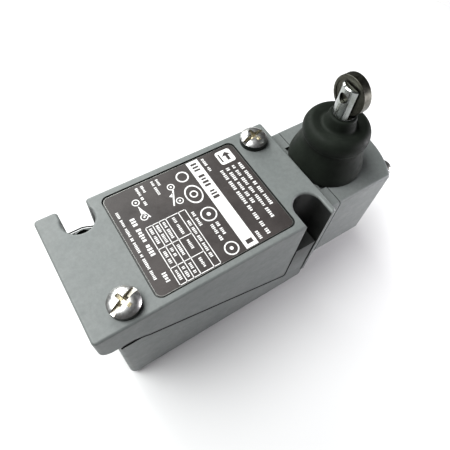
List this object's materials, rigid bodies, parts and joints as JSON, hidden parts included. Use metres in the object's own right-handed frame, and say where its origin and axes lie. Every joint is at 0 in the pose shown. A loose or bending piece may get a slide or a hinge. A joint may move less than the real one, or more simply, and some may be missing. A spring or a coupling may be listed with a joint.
{
  "type": "limit switch",
  "caption": "Plug-in limit switch: die-cast base and switch body, square head with a spring-returned side roller plunger in a rubber boot, working contacts inside.",
  "frame": {"origin": "centre of the mounting hole pattern on the back face", "axes": "+X from the conduit entry to the operating head, +Z out of the front plate, +Y completes the right hand"},
  "size_m": [0.1112, 0.04, 0.0761],
  "materials": {
    "casting_paint": "satin enamel over die-cast zinc",
    "nameplate_print": "dark print on a thin metal plate",
    "chrome_steel": "bright plated screws",
    "zinc_steel": "plain plated steel",
    "ground_green": "green dyed screw",
    "boot_rubber": "black moulded rubber",
    "gasket_rubber": "black gasket",
    "phenolic_black": "moulded phenolic",
    "phenolic_brown": "moulded phenolic",
    "nylon_white": "moulded nylon",
    "brass_strip": "stamped strip",
    "bronze": "sintered bronze",
    "roller_steel": "dark oiled steel",
    "rod_steel": "ground steel",
    "spring_steel": "spring wire"
  },
  "bodies": {
    "base": {"base_housing": "casting_paint", "base_gasket": "gasket_rubber", "terminal_block": "phenolic_black", "receptacle_contacts": "brass_strip", "terminal_clamps": "zinc_steel", "terminal_screws": "zinc_steel", "terminal_block_screws": "zinc_steel", "ground_screw": "ground_green"},
    "switch_body": {"body_housing": "casting_paint", "nameplate": "nameplate_print", "captive_screws": "chrome_steel", "screw_retainers": "nylon_white", "contact_case": "phenolic_brown", "contact_cover": "phenolic_black", "contact_cover_screws": "zinc_steel", "fixed_contacts_closed": "brass_strip", "fixed_contacts_open": "brass_strip", "contact_spring": "spring_steel", "push_rod_seal": "gasket_rubber", "head_housing": "casting_paint", "head_gasket": "gasket_rubber", "guide_plate": "bronze", "head_screws": "chrome_steel", "plunger_bushing": "bronze", "boot": "boot_rubber", "plunger_spring": "spring_steel"},
    "plunger": {"plunger_rod": "rod_steel", "roller_pin": "roller_steel", "cam_block": "zinc_steel", "cam_pin": "zinc_steel"},
    "roller": {"roller": "roller_steel"},
    "contact_slide": {"transfer_pin": "zinc_steel", "push_rod": "zinc_steel", "contact_carrier": "nylon_white", "contact_bridge": "brass_strip"}
  },
  "joints": [
    {"name": "unplug_slide", "type": "slide", "parent": "base", "child": "switch_body", "axis": [0, 0, 1], "range_m": [0, 0.03]},
    {"name": "plunger_slide", "type": "slide", "parent": "switch_body", "child": "plunger", "axis": [0, 0, -1], "range_m": [0, 0.0056], "stiffness_N_per_m": 1500, "springref_m": -0.004, "deforming": ["boot", "plunger_spring"]},
    {"name": "roller_spin", "type": "hinge", "parent": "plunger", "child": "roller", "pos_m": [0.04985, 0, 0.0702], "axis": [1, 0, 0], "continuous": true},
    {"name": "contact_travel", "type": "slide", "parent": "switch_body", "child": "contact_slide", "axis": [-1, 0, 0], "range_m": [0, 0.00205], "deforming": ["contact_spring"]}
  ],
  "couplings": [
    {"joint": "contact_travel", "follows": "plunger_slide", "ratio": 0.35714}
  ]
}
